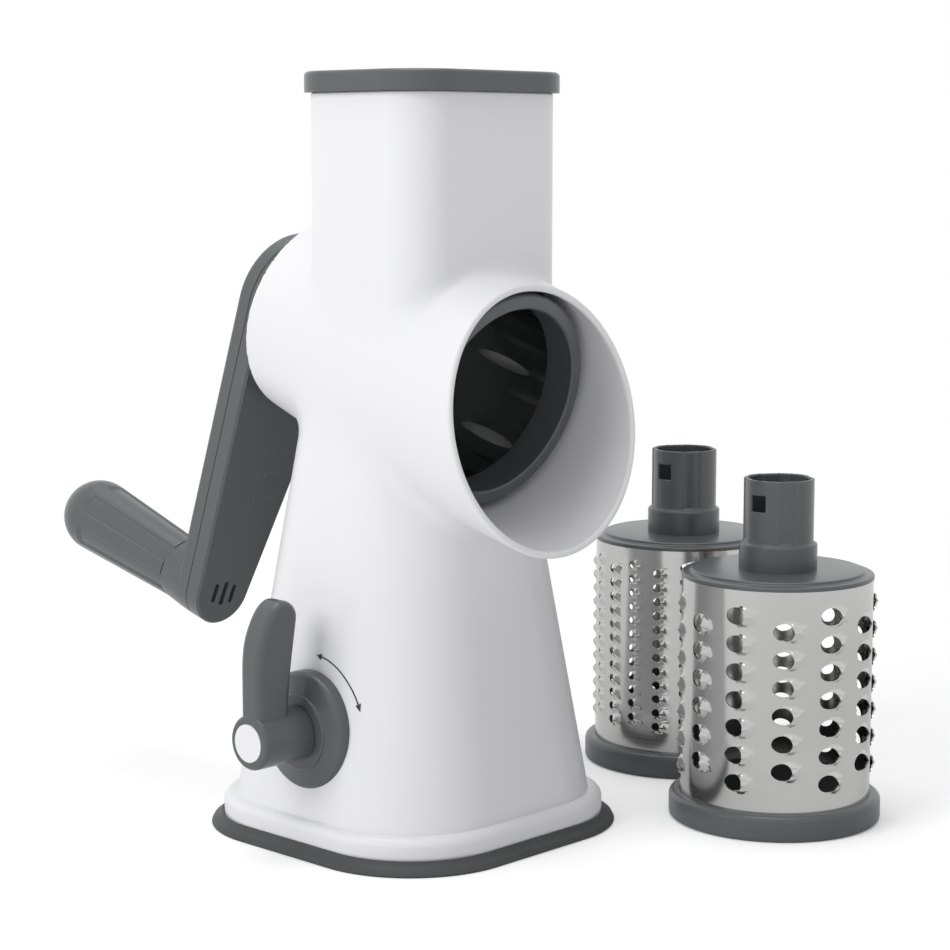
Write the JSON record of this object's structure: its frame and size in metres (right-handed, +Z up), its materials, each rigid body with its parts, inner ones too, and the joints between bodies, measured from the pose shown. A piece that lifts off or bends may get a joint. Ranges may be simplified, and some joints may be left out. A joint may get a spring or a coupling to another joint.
{
  "type": "rotary cheese grater",
  "caption": "Hand-cranked rotary drum grater on a suction base, with a hopper and pusher, a sloping barrel with a slicing drum, and spare grating drums standing beside it.",
  "frame": {"origin": "middle of the suction pad's flat underside", "axes": "+Z up; -Y out of the mouth; +Y towards the crank; -X towards the suction lever"},
  "size_m": [0.2572, 0.3054, 0.27],
  "materials": {
    "white_plastic": "smooth moulded ABS",
    "grey_plastic": "satin moulded ABS",
    "inner_plastic": "plain moulded",
    "pad_rubber": "smooth rubber",
    "drum_steel": "polished stainless steel",
    "screw_steel": "plain steel"
  },
  "bodies": {
    "base": {"housing": "white_plastic", "base_ring": "white_plastic", "base_plate": "inner_plastic", "base_screws": "screw_steel", "suction_pad": "pad_rubber", "lever_escutcheon": "grey_plastic", "lever_bush": "inner_plastic", "crank_bush": "inner_plastic"},
    "crank": {"crank_arm_inner": "grey_plastic", "crank_arm_outer": "grey_plastic", "crank_sleeve": "grey_plastic", "arm_screws": "screw_steel", "grip_pin": "screw_steel"},
    "grip": {"crank_grip": "grey_plastic"},
    "slicing_drum": {"slicing_drum_sheet": "drum_steel", "slicing_drum_ring": "grey_plastic", "slicing_drum_hub": "grey_plastic"},
    "coarse_drum": {"coarse_drum_sheet": "drum_steel", "coarse_drum_ring": "grey_plastic", "coarse_drum_hub": "grey_plastic"},
    "fine_drum": {"fine_drum_sheet": "drum_steel", "fine_drum_ring": "grey_plastic", "fine_drum_hub": "grey_plastic"},
    "pusher": {"pusher_cap": "grey_plastic", "pusher_plunger": "grey_plastic"},
    "lever": {"suction_lever": "grey_plastic", "lever_cap": "white_plastic", "lever_screw": "screw_steel", "lever_shaft": "inner_plastic"},
    "stem": {"suction_stem": "inner_plastic", "lift_disc": "inner_plastic"}
  },
  "joints": [
    {"name": "crank_turn", "type": "hinge", "parent": "base", "child": "crank", "pos_m": [0, 0, 0.17], "axis": [0, -0.9613, -0.2756], "continuous": true},
    {"name": "grip_spin", "type": "hinge", "parent": "crank", "child": "grip", "pos_m": [-0.018, 0.13436, 0.08963], "axis": [0, -0.9613, -0.2756], "continuous": true},
    {"name": "drum_pull", "type": "slide", "parent": "crank", "child": "slicing_drum", "axis": [0, -0.9613, -0.2756], "range_m": [0, 0.13]},
    {"name": "pusher_lift", "type": "slide", "parent": "base", "child": "pusher", "axis": [0, 0, 1], "range_m": [0, 0.12]},
    {"name": "lever_turn", "type": "hinge", "parent": "base", "child": "lever", "pos_m": [-0.06, 0, 0.0425], "axis": [1, 0, 0], "range_deg": [0, 100.5]},
    {"name": "suction_lift", "type": "slide", "parent": "base", "child": "stem", "axis": [0, 0, 1], "range_m": [0, 0.008]},
    {"name": "coarse_drum_lift", "type": "slide", "parent": "base", "child": "coarse_drum", "axis": [0, 0, 1], "range_m": [0, 0.15]},
    {"name": "fine_drum_lift", "type": "slide", "parent": "base", "child": "fine_drum", "axis": [0, 0, 1], "range_m": [0, 0.15]}
  ],
  "couplings": [
    {"joint": "lever_turn", "follows": "suction_lift", "rad_per_m": 218.17}
  ]
}
